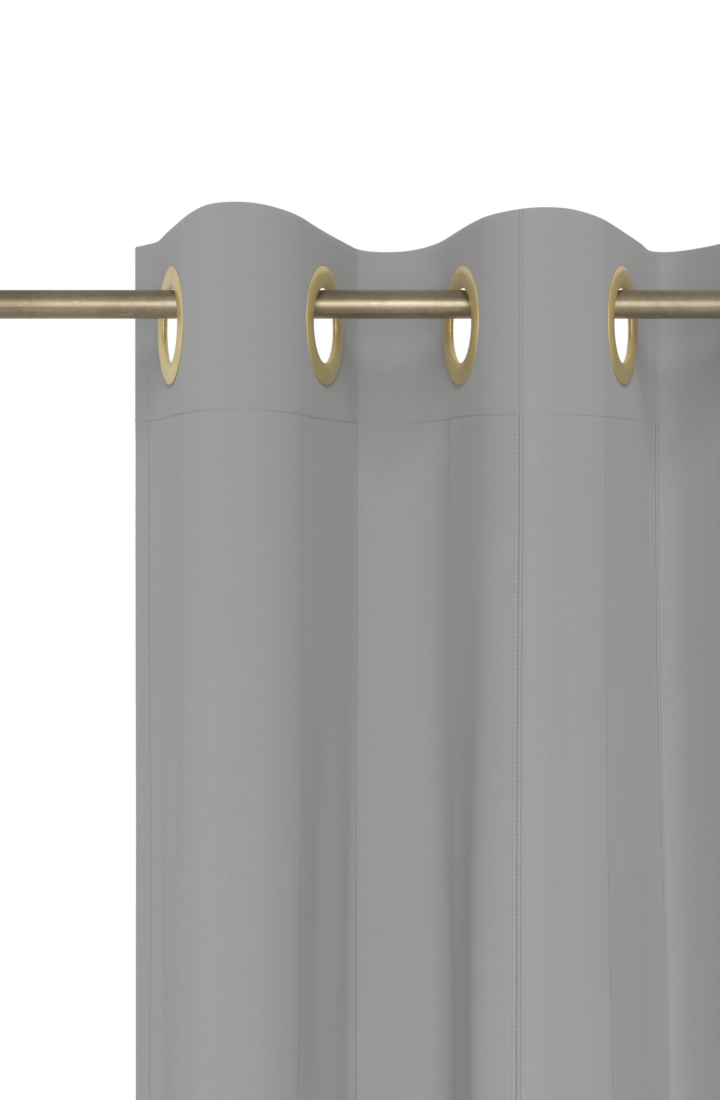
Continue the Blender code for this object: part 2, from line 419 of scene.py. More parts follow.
# the threads of a wide stripe: offset from its middle, width, how dark (below 0: lighter), and how
# far the rungs break it up
stripeThreads = (
    (-0.0024, 0.0008, 0.75, 0.80),
    (-0.0013, 0.0012, -0.42, 0.00),
    (0.0000, 0.0013, 1.10, 0.45),
    (0.0012, 0.0011, -0.42, 0.00),
    (0.0022, 0.0008, 0.85, 0.80),
)


def makeClothMaterial():
    f = clothFinish
    material, tree, shader = newMaterial("greyJacquard", f["roughness"])
    flat = flatMap(tree, "weave")
    v = splitVector(tree, flat)[1]
    across, strength = splitVector(tree, flatMap(tree, "stripe"))[:2]
    twill, lift = splitVector(tree, flatMap(tree, "ground"))[:2]
    weave = placeGroup(
        tree, weaveGroup, **{"Map": flat, "Rib Pitch": f["ribPitch"], "Thread Pitch": f["threadPitch"],
                             "Band": f["slopeBand"], "Twill": twill})
    rung = calc(tree, "SINE", calc(tree, "MULTIPLY", v, 2 * math.pi / f["rungPitch"]))
    broken = mapRange(tree, rung, -0.5, 0.6, 1.0, 0.0)
    wide = mapRange(tree, strength, 0.55, 0.75, 0.0, 1.0)
    gap = 0.0
    for offset, width, dark, rungs in stripeThreads:
        line = placeGroup(
            tree, threadLineGroup, **{"Across": across, "Centre": offset, "Width": width})["Mask"]
        line = calc(tree, "MULTIPLY", line, calc(tree, "MULTIPLY_ADD", broken, -dark * rungs, dark))
        gap = calc(tree, "ADD", gap, line)
    line = placeGroup(
        tree, threadLineGroup, **{"Across": across, "Centre": 0.0, "Width": f["lineWidth"]})["Mask"]
    single = calc(tree, "MULTIPLY_ADD", broken, -0.4 * f["singleLine"], f["singleLine"])
    line = calc(tree, "MULTIPLY", line, single)
    gap = calc(tree, "ADD", calc(tree, "MULTIPLY", gap, wide),
               calc(tree, "MULTIPLY", line, calc(tree, "SUBTRACT", 1.0, wide)))
    headerDepth = topEdge - headerSeam
    shown = mapRange(tree, v, headerDepth - 0.0006, headerDepth + 0.0006, f["headerShow"], 1.0)
    gap = calc(tree, "MULTIPLY", gap, calc(tree, "MULTIPLY", strength, shown))
    satin = calc(tree, "MULTIPLY", mapRange(tree, across, 0.0024, 0.0034, 0.0, 1.0),
                 mapRange(tree, across, 0.006, f["satinWidth"], 1.0, 0.0))
    satin = calc(tree, "MULTIPLY", satin, wide)
    cloud = calc(tree, "SUBTRACT", noise(tree, flat, 9.0, 3.0), 0.5)
    tone = calc(tree, "MULTIPLY_ADD", weave["Plain"], f["plainTone"], 1.0)
    tone = calc(tree, "MULTIPLY_ADD", weave["Rib"], f["twillTone"] / 2, tone)
    # lift is the ground's brightness: the jacquard's own tone, plus painted light that lightens the back
    # valley between the first two front folds and its legs against their shade
    tone = calc(tree, "ADD", calc(tree, "MULTIPLY_ADD", twill, f["twillLift"], tone), lift)
    tone = calc(tree, "MULTIPLY_ADD", cloud, f["cloudTone"], tone)
    tone = calc(tree, "MULTIPLY_ADD", gap, -f["lineTone"], tone)
    tone = calc(tree, "MULTIPLY_ADD", satin, f["satinTone"], tone)
    plug(tree, tint(tree, f["colour"], tone), shader.inputs["Base Color"])
    height = calc(tree, "MULTIPLY_ADD", gap, -1.5, weave["Height"])
    plug(tree, bump(tree, height, 0.25, 0.00012), shader.inputs["Normal"])
    shader.inputs["Diffuse Roughness"].default_value = f["diffuseRoughness"]
    shader.inputs["Sheen Weight"].default_value = f["sheen"]
    shader.inputs["Sheen Roughness"].default_value = f["sheenRoughness"]
    return material


threadFinish = {"colour": (0.400, 0.400, 0.397, 1.0), "roughness": 0.7, "plyPitch": 0.0006}


def makeThreadMaterial():
    # two-ply sewing thread: slanting dark lines at each turn of the ply
    material, tree, shader = newMaterial("greyThread", threadFinish["roughness"])
    x, y, z = splitVector(tree, objectPlace(tree))
    slant = calc(tree, "ADD", calc(tree, "ADD", x, y), z)
    ply = calc(tree, "SINE", calc(tree, "MULTIPLY", slant, 2 * math.pi / threadFinish["plyPitch"]))
    tone = calc(tree, "MULTIPLY_ADD", ply, 0.12, 1.0)
    plug(tree, tint(tree, threadFinish["colour"], tone), shader.inputs["Base Color"])
    plug(tree, bump(tree, ply, 0.4, 0.00004), shader.inputs["Normal"])
    return material


stiffenerFinish = {"colour": (0.62, 0.62, 0.60, 1.0), "roughness": 0.95}


def makeStiffenerMaterial():
    # bonded fibre sheet: short random fibres
    material, tree, shader = newMaterial("whiteBuckram", stiffenerFinish["roughness"])
    fibre = noise(tree, objectPlace(tree), 900.0, 4.0, 0.7)
    tone = mapRange(tree, fibre, 0.3, 0.7, 0.8, 1.1)
    plug(tree, tint(tree, stiffenerFinish["colour"], tone), shader.inputs["Base Color"])
    plug(tree, bump(tree, fibre, 0.4, 0.0002), shader.inputs["Normal"])
    return material


poleFinish = {
    "light": (0.47, 0.397, 0.280, 1.0),
    "dark": (0.335, 0.277, 0.181, 1.0),
    "scratch": (0.80, 0.74, 0.60, 1.0),
    "roughness": (0.30, 0.42),
    "grainLength": 9.0,
    "grainFineness": 1500.0,
}


def makePoleMaterial(name, finish):
    # brushed plating: streaks along the pole over slow clouds of patina, and a few bright dashes
    material, tree, shader = newMaterial(name, finish["roughness"][0], 1.0)
    place = objectPlace(tree)
    grain = placeGroup(
        tree, grainGroup, Place=place, Length=finish["grainLength"], Fineness=finish["grainFineness"])
    patina = placeGroup(tree, patinaGroup, Place=place, Cloud=14.0)["Amount"]
    blend = calc(tree, "MULTIPLY_ADD", grain["Grain"], 0.7, calc(tree, "MULTIPLY", patina, 0.3))
    colour = mixColours(tree, mapRange(tree, blend, 0.3, 0.7, 0.0, 1.0), finish["dark"], finish["light"])
    colour = mixColours(tree, calc(tree, "MULTIPLY", grain["Scratch"], 0.6), colour, finish["scratch"])
    plug(tree, colour, shader.inputs["Base Color"])
    plug(tree, mapRange(tree, grain["Grain"], 0.3, 0.7, *finish["roughness"]), shader.inputs["Roughness"])
    plug(tree, bump(tree, grain["Grain"], 0.12, 0.00006), shader.inputs["Normal"])
    return material


eyeletFinish = {
    "light": (0.92, 0.750, 0.370, 1.0),
    "dark": (0.86, 0.680, 0.300, 1.0),
    "metallic": 0.45,
    "roughness": (0.28, 0.36),
}


def makeEyeletMaterial():
    # satin gold plating with slow clouds and fine rubbed marks
    finish = eyeletFinish
    material, tree, shader = newMaterial("satinGold", finish["roughness"][0], finish["metallic"])
    place = objectPlace(tree)
    patina = placeGroup(tree, patinaGroup, Place=place, Cloud=60.0)["Amount"]
    rub = noise(tree, place, 1800.0, 2.0)
    plug(tree, mixColours(tree, patina, finish["light"], finish["dark"]), shader.inputs["Base Color"])
    plug(tree, mapRange(tree, patina, 0.0, 1.0, *finish["roughness"]), shader.inputs["Roughness"])
    plug(tree, bump(tree, rub, 0.03, 0.00003), shader.inputs["Normal"])
    return material


clothMaterial = makeClothMaterial()
threadMaterial = makeThreadMaterial()
stiffenerMaterial = makeStiffenerMaterial()
poleMaterial = makePoleMaterial("brushedChampagneBrass", poleFinish)
capMaterial = makePoleMaterial("capBrass", {**poleFinish, "grainLength": 500.0})
eyeletMaterial = makeEyeletMaterial()
print("materials made")


# The hang of the cloth

hang = {
    "spacing": 1.250 / 7,        # cloth between two eyelets
    "margin": 0.0695,            # cloth outside the first and the last eyelet
    "marginBend": 0.047,         # where the margin turns, from the eyelet
    "marginTurn": math.radians(24.5),
    "marginOpen": math.radians(2.5),
    "marginSpread": math.radians(6.0),       # how much more it opens where the folds have settled
    "flatReach": 0.034,          # flat cloth on either side of an eyelet
    # the first four of each curl are rounded from a fitting program's answer
    "curlBefore": (10.0, 0.0, 29.0, -6.0, 14.0, 8.0, 12.0),   # degrees a leg turns before its fold
    "curlAfter": (26.0, 28.0, 17.0, 28.0, 20.0, 24.0, 18.0),  # and after it
    "curlKept": 0.80,            # share of that curl left where the folds have settled
    "softness": 0.005,           # how far a bend spreads along the cloth
    "foldSteps": 72,
    "marginSteps": 28,
    "stiffDepth": 0.115,         # from the top edge down to where the folds start to move
    "settleDepth": 0.45,
    # the first five of each of these two are a fitting program's answer as it printed them
    "settleAngles": (1.8, 1.3, 8.6, -1.1, 2.2, 1.0, -2.0, 1.0),            # degrees
    "settleDrift": (-0.0007, -0.0018, -0.0006, 0.0051, 0.0016, -0.0020, 0.0015, 0.0005),
    "swayAngle": math.radians(3.5),
    "swayDrift": 0.0035,
    "swayDepth": 0.0045,
    "sagAtEyelets": (0.0011, 0.0028, 0.0014, 0.0024, 0.0015, 0.0020, 0.0012, 0.0014),
    "sagAtFolds": (0.0013, 0.0020, 0.0038, 0.0018, 0.0016, 0.0026, 0.0018),
    "seed": 11,
}

clothWidth = 2 * hang["margin"] + (eyeletCount - 1) * hang["spacing"]
eyeletAlong = hang["margin"] + hang["spacing"] * np.arange(eyeletCount)
foldSide = np.where(np.arange(eyeletCount - 1) % 2 == 0, -1.0, 1.0)
alongCloth = np.concatenate((
    np.linspace(0.0, hang["margin"], hang["marginSteps"] + 1),
    *(np.linspace(a, a + hang["spacing"], hang["foldSteps"] + 1)[1:] for a in eyeletAlong[:-1]),
    np.linspace(eyeletAlong[-1], clothWidth, hang["marginSteps"] + 1)[1:]))
eyeletColumn = hang["marginSteps"] + hang["foldSteps"] * np.arange(eyeletCount)


def sway(below, rng, amount, fade):
    # for each eyelet a slow wave down the cloth: amount sin(2 pi depth / length + start), growing
    # from nothing over the fade depth
    length = rng.uniform(1.3, 2.6, eyeletCount)
    start = rng.uniform(0.0, 2 * math.pi, eyeletCount)
    wave = np.sin(2 * math.pi * below[:, None] / length + start)
    return amount * ease(below / fade)[:, None] * wave


def foldLengths(pitch, left, right, curlLeft, curlRight):
    # Leg, leg and crown radius of every fold at every height, from three sums: the lengths add up
    # to the cloth's spacing, cross the pitch, and come back to the pole's line. A leg is flat near
    # its eyelet and then turns evenly by its curl, so its chord is its length times
    # sin(curl / 2) / (curl / 2), at its angle less half the curl.
    flat = hang["flatReach"]
    shortLeft, shortRight = np.sinc(curlLeft / 2 / math.pi), np.sinc(curlRight / 2 / math.pi)
    endLeft, endRight = left - curlLeft, right - curlRight
    legLeft, legRight = left - curlLeft / 2, right - curlRight / 2
    rows = np.empty(pitch.shape + (3, 3))
    rows[..., 0, 0] = rows[..., 0, 1] = 1.0
    rows[..., 0, 2] = endLeft + endRight
    rows[..., 1, 0], rows[..., 1, 1] = shortLeft * np.cos(legLeft), shortRight * np.cos(legRight)
    rows[..., 1, 2] = np.sin(endLeft) + np.sin(endRight)
    rows[..., 2, 0], rows[..., 2, 1] = shortLeft * np.sin(legLeft), -shortRight * np.sin(legRight)
    rows[..., 2, 2] = np.cos(endRight) - np.cos(endLeft)
    gainX = np.cos(left) - rows[..., 1, 0] + np.cos(right) - rows[..., 1, 1]
    gainY = np.sin(left) - rows[..., 2, 0] - np.sin(right) - rows[..., 2, 1]
    target = np.stack((np.full_like(pitch, hang["spacing"]), pitch - flat * gainX, -flat * gainY), axis=-1)
    return np.moveaxis(np.linalg.solve(rows, target[..., None])[..., 0], -1, 0)


def planAt(height):
    # Plan of the cloth at each height: x, y and heading at every step along it. The heading holds
    # at an eyelet's angle, turns by the leg's curl, then evenly round the crown, and so back. It is
    # averaged with its neighbours, summed into x and y, and pinned to the eyelets' lines.
    below = np.maximum(topEdge - height - hang["stiffDepth"], 0.0)
    settle = ease(below / hang["settleDepth"])[:, None]
    rng = np.random.default_rng(hang["seed"])
    angle = np.abs(eyeletHeading) + settle * np.radians(hang["settleAngles"])
    angle = angle + sway(below, rng, hang["swayAngle"], 1.1)
    pinX = eyeletX + settle * np.array(hang["settleDrift"]) + sway(below, rng, hang["swayDrift"], 1.0)
    pinY = sway(below, rng, hang["swayDepth"], 1.0)
    left, right = angle[:, :-1], angle[:, 1:]
    kept = 1.0 - (1.0 - hang["curlKept"]) * settle
    curlLeft, curlRight = (kept * np.radians(hang[key]) for key in ("curlBefore", "curlAfter"))
    legLeft, legRight, radius = foldLengths(np.diff(pinX, axis=1), left, right, curlLeft, curlRight)
    heading = np.empty((len(height), len(alongCloth)))
    flat = hang["flatReach"]
    for k, side in enumerate(foldSide):
        columns = slice(eyeletColumn[k], eyeletColumn[k + 1] + 1)
        gone = (alongCloth[columns] - eyeletAlong[k])[None, :]
        ownLeft, ownRight, first, last, bend = (
            table[:, k, None] for table in (left, right, legLeft, legRight, radius))
        before = ownLeft - curlLeft[:, k, None] * np.clip((gone - flat) / (first - flat), 0.0, 1.0)
        before = before - np.maximum(gone - first, 0.0) / bend
        toGo = hang["spacing"] - gone
        after = curlRight[:, k, None] * np.clip((toGo - flat) / (last - flat), 0.0, 1.0) - ownRight
        heading[:, columns] = side * np.where(toGo > last, before, after)
    fromLeft = hang["margin"] - alongCloth[:eyeletColumn[0]]
    fromRight = alongCloth[eyeletColumn[-1] + 1:] - eyeletAlong[-1]
    for columns, away, own, side in (
            (slice(0, eyeletColumn[0]), fromLeft, angle[:, :1], -1.0),
            (slice(eyeletColumn[-1] + 1, None), fromRight, angle[:, -1:], 1.0)):
        bend = ease((away - hang["marginBend"] + 0.004) / 0.008)
        opening = hang["marginOpen"] * ease(away / 0.030)
        turn = hang["marginTurn"] + hang["marginOpen"] + hang["marginSpread"] * settle
        heading[:, columns] = side * (own + opening - turn * bend)
    near = np.exp(-0.5 * ((alongCloth[:, None] - alongCloth[None, :]) / hang["softness"]) ** 2)
    heading = heading @ (near / near.sum(axis=1, keepdims=True)).T
    step = np.diff(alongCloth)
    plan = []
    for part, pin in ((np.cos(heading), pinX), (np.sin(heading), pinY)):
        line = np.zeros_like(heading)
        line[:, 1:] = np.cumsum((part[:, 1:] + part[:, :-1]) / 2 * step, axis=1)
        error = pin - line[:, eyeletColumn]
        share = np.clip(1 - np.abs(alongCloth[:, None] - eyeletAlong) / hang["spacing"], 0.0, 1.0)
        share[:eyeletColumn[0], 0] = share[eyeletColumn[-1]:, -1] = 1.0
        share[:eyeletColumn[0], 1:] = share[eyeletColumn[-1]:, :-1] = 0.0
        plan.append(line + error @ share.T)
    return plan[0], plan[1], heading


def readAlong(table, where):
    # values of a table of rows and steps along the cloth, read at other distances in every row
    low = np.clip(np.searchsorted(alongCloth, where, side="right") - 1, 0, len(alongCloth) - 2)
    share = (where - alongCloth[low]) / (alongCloth[low + 1] - alongCloth[low])
    return table[:, low] * (1 - share) + table[:, low + 1] * share


def topSag(where):
    # how far the top edge droops: given at each eyelet and fold, with an eased step between them
    knots = hang["margin"] + hang["spacing"] / 2 * np.arange(2 * eyeletCount - 1)
    sags = np.empty(len(knots))
    sags[0::2], sags[1::2] = hang["sagAtEyelets"], hang["sagAtFolds"]
    place = np.clip((where - knots[0]) / (knots[1] - knots[0]), 0.0, len(knots) - 1.0)
    low = np.minimum(place.astype(int), len(knots) - 2)
    return sags[low] + (sags[low + 1] - sags[low]) * ease(place - low)


def surfacePoint(where, height, behind):
    # points of the cloth, one for each set of distance along, height and offset behind its middle,
    # with the directions along the cloth and out towards the room
    x, y, heading = (table[np.arange(len(height)), :] for table in planAt(height))
    low = np.clip(np.searchsorted(alongCloth, where, side="right") - 1, 0, len(alongCloth) - 2)
    share = (where - alongCloth[low]) / (alongCloth[low + 1] - alongCloth[low])
    row = np.arange(len(height))
    x, y, heading = (t[row, low] * (1 - share) + t[row, low + 1] * share for t in (x, y, heading))
    along = np.stack((np.cos(heading), np.sin(heading), np.zeros_like(heading)), axis=1)
    out = np.stack((np.sin(heading), -np.cos(heading), np.zeros_like(heading)), axis=1)
    point = np.stack((x, y, height - topSag(where)), axis=1) - behind[:, None] * out
    return point, along, out


# The cloth itself

cloth = {
    "thickness": 0.0006,
    "turnRadius": 0.0008,        # of the fold-over at the top edge and at the bottom hem
    "sideTurnRadius": 0.00045,
    "sideHem": 0.021,
    "bottomHem": 0.090,
    "headerStep": 0.004,
    "dropStep": 0.011,
    "hemStep": 0.007,
    "turnSteps": 6,
    "seamFine": 0.0012,
    "seamPinch": 0.00012,        # how deep the header seam draws in
    "puckerDepth": 0.00022,
    "puckerPitch": 0.017,
    "puckerReach": 0.022,
    "layerStep": 0.0002,         # the drop lies this far behind the header's face
    "rippleDepth": 0.0007,
    "cutRadius": 0.0246,
    "holeRadius": 0.0240,
}

bottomHemTop = bottomEdge + cloth["bottomHem"]


def spreadHeights(high, low, step, fineAt=None):
    # heights from high to low, closer together near a seam
    span = high - low
    count = max(2, round(span / step))
    heights = np.linspace(high, low, count + 1)
    if fineAt is not None:
        around = fineAt + cloth["seamFine"] * np.arange(-6, 7)
        heights = heights[np.min(np.abs(heights[:, None] - around), axis=1) > cloth["seamFine"]]
        around = around[(around < high - 1e-6) & (around > low + 1e-6)]
        heights = np.sort(np.concatenate((heights, around)))[::-1]
    return heights


def clothRows():
    # The way down the cloth, as one path in its own thickness: up the facing behind the header,
    # over the top edge, down the front, under the bottom edge and up the hem. Each row has a
    # height, an offset behind the face, the direction of the cloth's wrong side and its length.
    turn = cloth["turnRadius"]
    seam, pinch = headerSeam, cloth["thickness"] * 1.3
    facing = spreadHeights(topEdge - turn, seam - 0.001, cloth["headerStep"], seam)[::-1]
    front = np.concatenate((
        spreadHeights(topEdge - turn, seam - 0.020, cloth["headerStep"], seam),
        spreadHeights(seam - 0.020, bottomHemTop + 0.020, cloth["dropStep"])[1:],
        spreadHeights(bottomHemTop + 0.020, bottomEdge + turn, cloth["hemStep"], bottomHemTop)[1:]))
    hem = spreadHeights(bottomHemTop + 0.001, bottomEdge + turn, cloth["hemStep"], bottomHemTop)[::-1]
    over = np.linspace(0.0, math.pi, cloth["turnSteps"] + 1)[1:-1]
    facingBehind = pinch + (2 * turn - pinch) * ease((facing - seam) / 0.010)
    hemBehind = pinch + (2 * turn - pinch) * ease((bottomHemTop - hem) / 0.008)
    height = np.concatenate((
        facing, topEdge - turn + turn * np.sin(over), front,
        bottomEdge + turn - turn * np.sin(over), hem))
    behind = np.concatenate((
        facingBehind, turn + turn * np.cos(over), np.zeros_like(front),
        turn - turn * np.cos(over), hemBehind))
    angle = np.concatenate((
        np.zeros_like(facing), over, np.full_like(front, math.pi), math.pi + over,
        np.full_like(hem, 2 * math.pi)))
    length = np.concatenate(([0.0], np.cumsum(np.hypot(np.diff(height), np.diff(behind)))))
    isFront = (angle == math.pi)
    down = length - length[isFront][0] + turn
    return {"height": height, "behind": behind, "wrong": (-np.cos(angle), -np.sin(angle)), "down": down,
            "front": isFront}


def clothColumns(k):
    # The way across piece k, from one eyelet to the next. The first and last pieces go on to the
    # side edge, round it and back behind as the side hem. Each column has a distance along, an
    # offset to the wrong side and its flat distance from the side edge.
    along = alongCloth[eyeletColumn[k]:eyeletColumn[k + 1] + 1]
    across, wrong, flat = along, np.zeros_like(along), along
    turn = cloth["sideTurnRadius"]
    bend = np.linspace(math.pi, 0.0, cloth["turnSteps"] + 1)
    hemAcross = np.concatenate((turn - turn * np.sin(bend), np.linspace(turn, cloth["sideHem"], 9)[1:]))
    hemWrong = np.concatenate((turn + turn * np.cos(bend), np.full(8, 2 * turn)))
    hemFlat = turn - np.concatenate(([0.0], np.cumsum(np.hypot(np.diff(hemAcross), np.diff(hemWrong)))))
    if k == 0:
        margin = alongCloth[1:eyeletColumn[0]]
        across = np.concatenate((hemAcross[::-1], margin, across))
        wrong = np.concatenate((hemWrong[::-1], np.zeros_like(margin), wrong))
        flat = np.concatenate((hemFlat[::-1], margin, flat))
    if k == eyeletCount - 2:
        margin = alongCloth[eyeletColumn[-1] + 1:-1]
        across = np.concatenate((across, margin, clothWidth - hemAcross))
        wrong = np.concatenate((wrong, np.zeros_like(margin), hemWrong))
        flat = np.concatenate((flat, margin, clothWidth - hemFlat))
    return across, wrong, flat


def ripples(across, below):
    # soft hand-sized unevenness in the free cloth: a sum of slow waves that lean a little, held
    # flat in the header
    rng = np.random.default_rng(hang["seed"] + 1)
    total = np.zeros(np.broadcast(across, below).shape)
    for wave in range(14):
        width = rng.uniform(0.045, 0.140)
        drop = rng.uniform(0.35, 1.10) * rng.choice((-1.0, 1.0))
        start = rng.uniform(0.0, 2 * math.pi)
        total += np.sin(2 * math.pi * (across / width + below / drop) + start)
    return cloth["rippleDepth"] * total / math.sqrt(14) * ease((below - hang["stiffDepth"]) / 0.30)


def seamShape(across, height, seam, side):
    # a seam's pull: a narrow groove on the line, and small gathers that fade away from it
    away = height - seam
    groove = cloth["seamPinch"] * np.exp(-0.5 * (away / 0.0013) ** 2)
    fade = np.exp(-np.abs(away) / cloth["puckerReach"]) * np.where(away * side > 0, 1.0, 0.35)
    phase = 2 * math.pi * across / cloth["puckerPitch"]
    gather = np.sin(phase + 1.7 * np.sin(phase * 0.37)) * (0.6 + 0.4 * np.sin(phase * 0.13 + 1.0))
    return groove + cloth["puckerDepth"] * fade * (1 - np.exp(-np.abs(away) / 0.002)) * gather


stripes = {
    # all places but the first are rounded from a fitting program's answer
    "places": (0.0140, 0.0950, 0.2100, 0.3120, 0.4025, 0.4980, 0.5690, 0.6875),
    "strengths": (0.35, 0.20, 0.40, 0.50, 0.34, 1.00, 0.45, 0.85),
    "twill": (0.10, 1.00, 0.18, 0.12, 0.80, 0.95, 0.15, 0.10),   # of the ground after each stripe
    # the lifts are partly the jacquard's own ground tones and partly painted light: those after the stripes
    # at 0.210, 0.312 and 0.4025 m lighten the back valley between the first two front folds and the legs
    # beside it against their shade
    "lift": (0.010, 0.010, 0.035, 0.085, 0.050, -0.010, -0.040, 0.020),      # its change of brightness
    "spacing": 0.0930,           # of the stripes past the last one listed
    "laterStrengths": (0.40, 1.00, 0.40, 0.85),
    "laterTwill": (0.80, 0.95, 0.15, 0.10),
    "laterLift": (0.0, -0.010, -0.045, 0.06),
}


def stripePlaces():
    # centre and strength of each openwork stripe across the cloth, and the ground that follows it
    places, strengths, twill, lift = (
        list(stripes[key]) for key in ("places", "strengths", "twill", "lift"))
    while places[-1] + stripes["spacing"] < clothWidth - 0.03:
        turn = (len(places) - len(stripes["places"])) % len(stripes["laterStrengths"])
        strengths.append(stripes["laterStrengths"][turn])
        twill.append(stripes["laterTwill"][turn])
        lift.append(stripes["laterLift"][turn])
        places.append(places[-1] + stripes["spacing"])
    return np.array(places), np.array(strengths), np.array((twill, lift))


def stripeMaps(flat):
    # for each point the signed distance from the nearest stripe and that stripe's strength, and
    # the twill and the brightness of the ground that it lies in, eased from one to the next. That
    # brightness is partly the jacquard's own tone and partly painted light, which lightens the back
    # valley between the first two front folds and the legs beside it against their shade
    places, strengths, groundsAndPaintedLight = stripePlaces()
    nearest = np.argmin(np.abs(flat[:, None] - places), axis=1)
    steps = ease((flat[:, None] - places[1:]) / 0.004 + 0.5)
    ground = groundsAndPaintedLight[:, 0] + steps @ np.diff(groundsAndPaintedLight, axis=1).T
    return np.stack((flat - places[nearest], strengths[nearest]), axis=1), ground


def cutHoles(points, heading, across, k, allowed):
    # Leaves out the faces that reach into either eyelet's hole, where that is allowed, and draws the
    # gap's rim to a circle. Gives the points, the faces, and the moves along the cloth and upwards.
    px, py, pz = points
    faces = gridFaces(*px.shape)
    movedAlong = np.zeros(px.shape)
    movedUp = np.zeros(px.shape)
    for centre in eyeletAlong[k:k + 2]:
        du = across[None, :] - centre
        dz = pz - eyeletZ
        reach = np.where(allowed, np.hypot(du, dz), 1.0)
        inside = (reach < cloth["cutRadius"]).ravel()
        gone = inside[faces].any(axis=1)
        touched = np.zeros(px.size, dtype=bool)
        touched[faces[gone].ravel()] = True
        faces = faces[~gone]
        rim = (touched & ~inside).reshape(px.shape)
        pull = np.where(rim, cloth["holeRadius"] / reach - 1.0, 0.0)
        px = px + pull * du * np.cos(heading)
        py = py + pull * du * np.sin(heading)
        pz = pz + pull * dz
        movedAlong = movedAlong + pull * du
        movedUp = movedUp + pull * dz
    return (px, py, pz), faces, movedAlong, movedUp


def keepUsed(points, faces):
    # the points that a face uses, the faces renumbered for them, and which points they are
    used = np.unique(faces)
    renumber = np.zeros(points[0].size, dtype=np.int64)
    renumber[used] = np.arange(len(used))
    return np.stack(points, axis=-1).reshape(-1, 3)[used], renumber[faces], used


def addThickness(piece, thickness):
    shell = piece.modifiers.new("thickness", "SOLIDIFY")
    shell.thickness = thickness
    shell.offset = 0.0


def makeCloth(k):
    # One sheet surface: for every row and column the plan point, moved behind along the cloth's
    # normal by the row's and the column's offsets. Eyelet holes are left out of the grid, and the
    # grid's edge round each is drawn to a circle.
    rows = clothRows()
    across, wrong, flat = clothColumns(k)
    height, behind, down = rows["height"], rows["behind"], rows["down"]
    x, y, heading = (readAlong(table, across) for table in planAt(height))
    onFront = rows["front"][:, None]
    below = (topEdge - height)[:, None]
    offset = behind[:, None] + wrong[None, :] * rows["wrong"][0][:, None]
    seams = seamShape(across[None, :], height[:, None], headerSeam, -1.0)
    seams = seams + seamShape(across[None, :], height[:, None], bottomHemTop, 1.0)
    lowered = cloth["layerStep"] * ease((below + headerSeam - topEdge) / 0.012)
    lowered = lowered * (1 - ease((bottomHemTop + 0.012 - height[:, None]) / 0.012))
    offset = offset + ripples(across[None, :], below) + np.where(onFront, seams + lowered, 0.0)
    px = x - offset * np.sin(heading)
    py = y + offset * np.cos(heading)
    pz = height[:, None] - topSag(across)[None, :] + wrong[None, :] * rows["wrong"][1][:, None]
    u = np.broadcast_to(flat[None, :], px.shape).copy()
    v = np.broadcast_to(down[:, None], px.shape).copy()
    inHeader = (below < hang["stiffDepth"]) & (np.abs(height - topEdge)[:, None] > 0.004)
    points, faces, movedAlong, movedUp = cutHoles((px, py, pz), heading, across, k, inHeader)
    points, faces, used = keepUsed(points, faces)
    u = u + movedAlong
    v = v - movedUp
    stripe, ground = stripeMaps(u.ravel()[used])
    maps = {"weave": np.stack((u, v), axis=-1).reshape(-1, 2)[used], "stripe": stripe, "ground": ground}
    piece = putMesh(f"cloth_{k + 1}", points, faces, clothMaterial, maps)
    sharpBorder(piece.data)
    addThickness(piece, cloth["thickness"])
    length = rows["down"][-1] - rows["down"][0]
    return piece, (abs(flat[-1] - flat[0]), length)


# Header stiffener between the face and the facing

stiffener = {"depth": 0.100, "thickness": 0.0005, "step": 0.004}


def makeStiffener(k):
    # a strip midway between the header's two layers, with the same holes
    heights = spreadHeights(topEdge - 0.0018, topEdge - stiffener["depth"], stiffener["step"])
    first = 2 if k == 0 else eyeletColumn[k]
    last = len(alongCloth) - 3 if k == eyeletCount - 2 else eyeletColumn[k + 1]
    across = alongCloth[first:last + 1]
    x, y, heading = (table[:, first:last + 1] for table in planAt(heights))
    px = x - cloth["turnRadius"] * np.sin(heading)
    py = y + cloth["turnRadius"] * np.cos(heading)
    pz = heights[:, None] - topSag(across)[None, :]
    points, faces, movedAlong, movedUp = cutHoles((px, py, pz), heading, across, k, True)
    points, faces, used = keepUsed(points, faces)
    piece = putMesh(f"stiffener_{k + 1}", points, faces, stiffenerMaterial)
    addThickness(piece, stiffener["thickness"])
    return piece


# Sewing

sewing = {
    "pitch": 0.0034,
    "length": 0.0028,
    "threadRadius": 0.00013,
    "sides": 6,
    "stations": (-0.50, -0.36, 0.0, 0.36, 0.50),
    "girth": (0.30, 0.85, 1.0, 0.85, 0.30),
    "lift": (-0.00022, 0.00002, 0.00008, 0.00002, -0.00022),
}


def makeStitches(name, middles, along, out):
    # One short sagging loop of thread for each stitch: rings of points about its middle line, at
    # stations along it, lifted off the cloth in the middle and sunk into it at the ends.
    stations, girth, lift = (np.array(sewing[key]) for key in ("stations", "girth", "lift"))
    angle = 2 * math.pi * np.arange(sewing["sides"]) / sewing["sides"]
    side = np.cross(out, along)
    radius = sewing["threadRadius"] * girth[:, None]
    a = (stations * sewing["length"])[:, None] + 0 * angle[None, :]
    b = radius * np.cos(angle)[None, :]
    c = lift[:, None] + radius * np.sin(angle)[None, :]
    points = (middles[:, None, None, :] + a[None, ..., None] * along[:, None, None, :]
              + b[None, ..., None] * side[:, None, None, :] + c[None, ..., None] * out[:, None, None, :])
    count, rings, sides = len(middles), len(stations), sewing["sides"]
    one = gridFaces(rings, sides, closeColumns=True)
    ends = np.array([[0, 1, 2, 3], [0, 3, 4, 5]])
    one = np.concatenate((one, ends[:, ::-1], ends + (rings - 1) * sides))
    one = facingOut(points[0].reshape(-1, 3), one)
    faces = (one[None] + (np.arange(count) * rings * sides)[:, None, None]).reshape(-1, 4)
    return putMesh(name, points.reshape(-1, 3), faces, threadMaterial)


